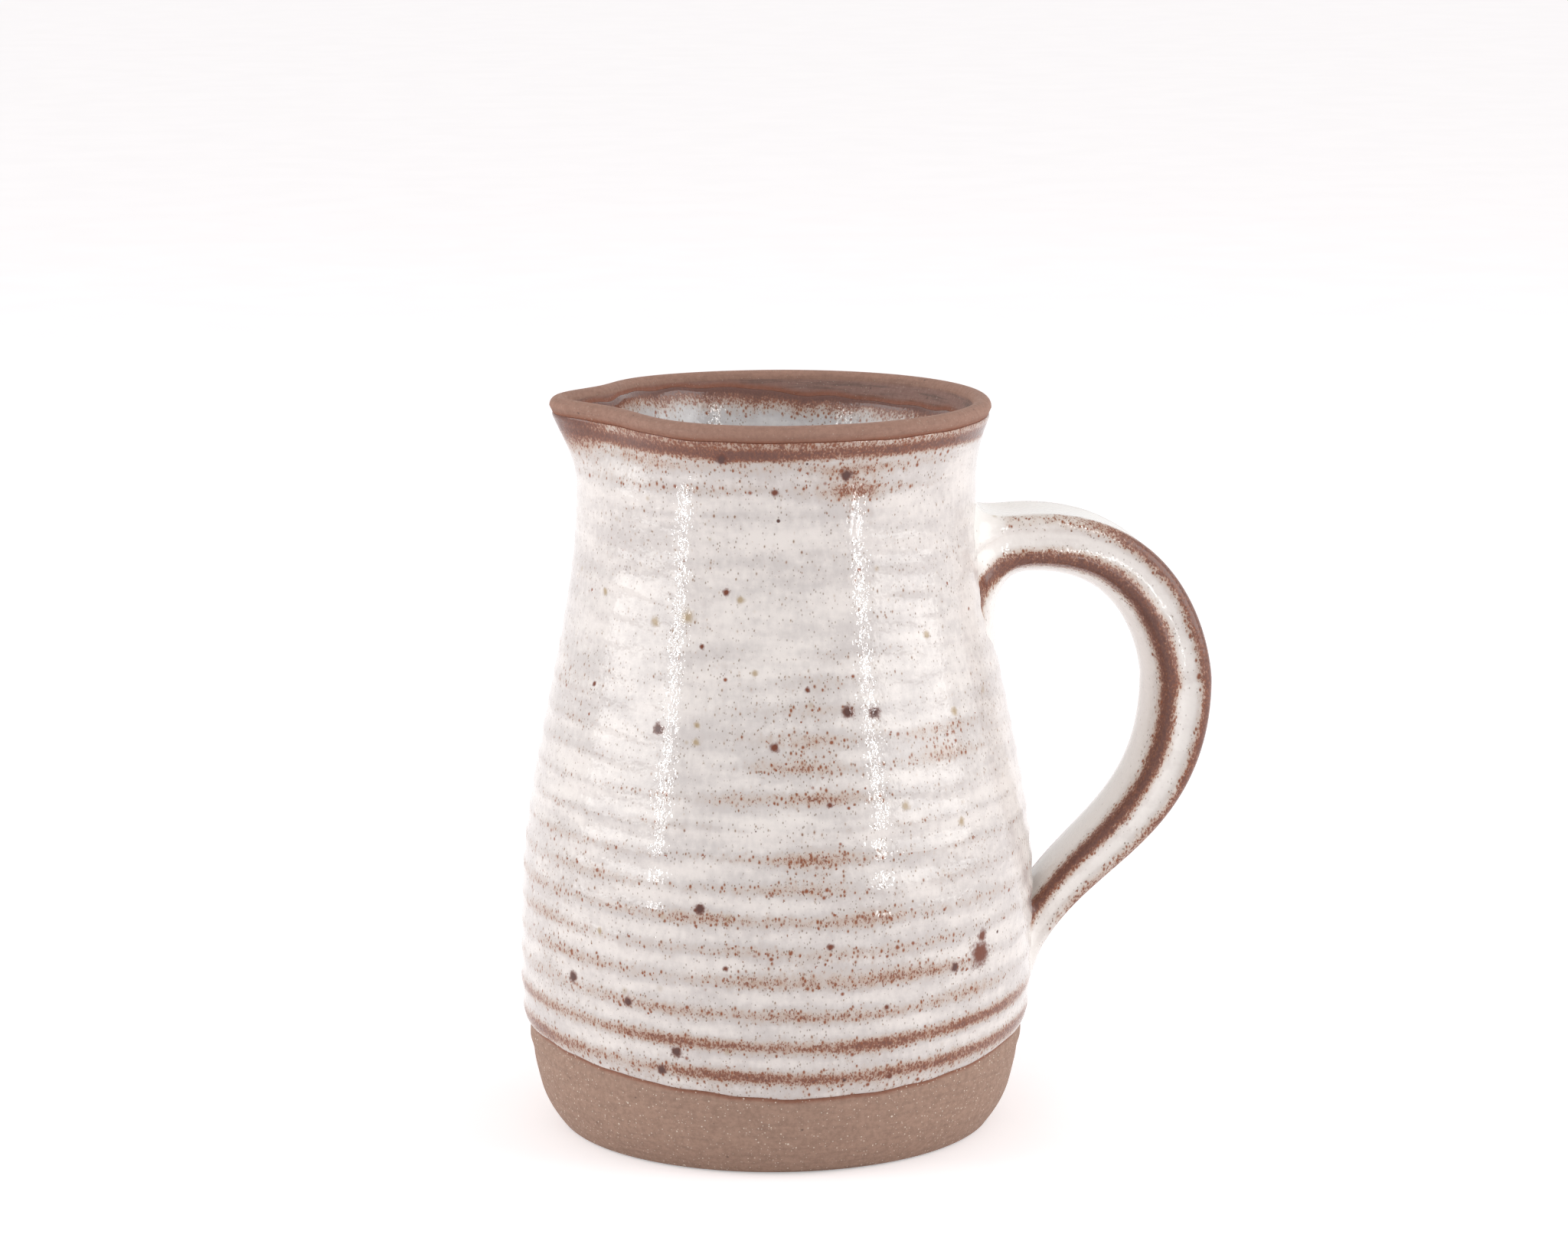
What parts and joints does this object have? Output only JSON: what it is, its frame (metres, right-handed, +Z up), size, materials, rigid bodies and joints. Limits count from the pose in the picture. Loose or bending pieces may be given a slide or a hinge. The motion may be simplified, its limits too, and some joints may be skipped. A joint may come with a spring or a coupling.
{
  "type": "milk pitcher",
  "caption": "Wheel-thrown stoneware pitcher with a pinched pouring spout, a pulled strap handle and a speckled glaze that leaves a bare clay rim and foot.",
  "frame": {"origin": "centre of the flat base, on the surface that the pitcher stands on", "axes": "+Z up, along the axis of throwing; +X towards the handle; -X towards the spout; +Y to the side"},
  "size_m": [0.1515, 0.1128, 0.1613],
  "materials": {
    "clay": "bare fired stoneware, matt, with fine pale grit",
    "slip": "fired clay slip, matt",
    "liner": "glossy speckled grey-white glaze",
    "glaze": "glossy oatmeal glaze that breaks brown on edges"
  },
  "bodies": {
    "root": {"thrown_body": "clay", "pulled_handle": "clay", "upper_slip_joint": "slip", "lower_slip_joint": "slip", "liner_glaze": "liner", "outer_glaze": "glaze", "handle_glaze": "glaze"}
  },
  "joints": []
}
